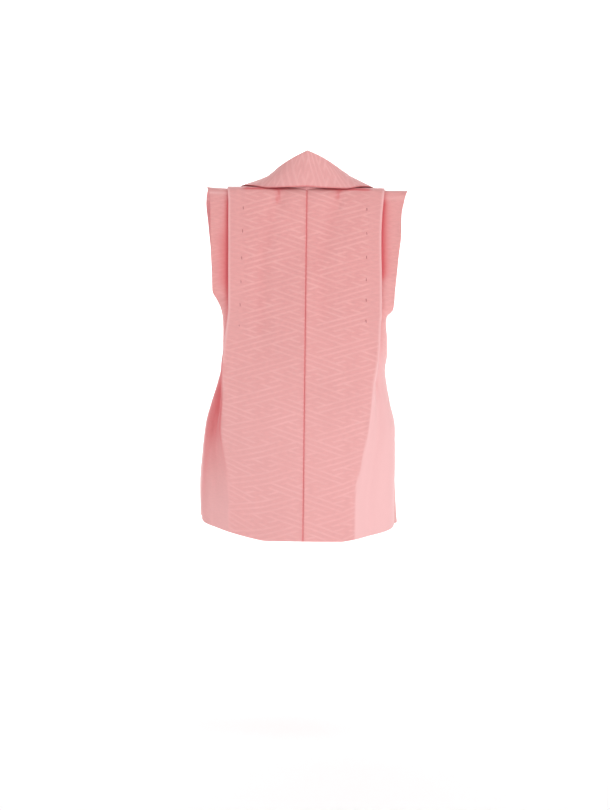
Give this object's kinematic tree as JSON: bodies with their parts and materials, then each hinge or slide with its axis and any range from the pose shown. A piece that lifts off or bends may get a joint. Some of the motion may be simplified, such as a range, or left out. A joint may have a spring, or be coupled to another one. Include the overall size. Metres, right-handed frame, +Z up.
{
  "type": "hifu vest",
  "caption": "Sleeveless child's over-vest with shoulder tucks, side gussets, lapped front and a wide turned-down collar round a square neck opening.",
  "frame": {"origin": "midway between the two shoulder ridges, where the wearer's shoulders carry the vest", "axes": "+Z up, front towards -Y, back towards +Y, the wearer's left towards +X"},
  "size_m": [0.3046, 0.2138, 0.5738],
  "materials": {
    "cloth": "satin woven figure on a matt ground",
    "cord": "soft twisted cord"
  },
  "bodies": {
    "root": {"body_left": "cloth", "gusset_left": "cloth", "overlap_left": "cloth", "front_band_left": "cloth", "body_right": "cloth", "gusset_right": "cloth", "overlap_right": "cloth", "front_band_right": "cloth", "collar": "cloth", "knot_upper": "cord", "loop_upper": "cord", "knot_lower": "cord", "loop_lower": "cord"}
  },
  "joints": []
}
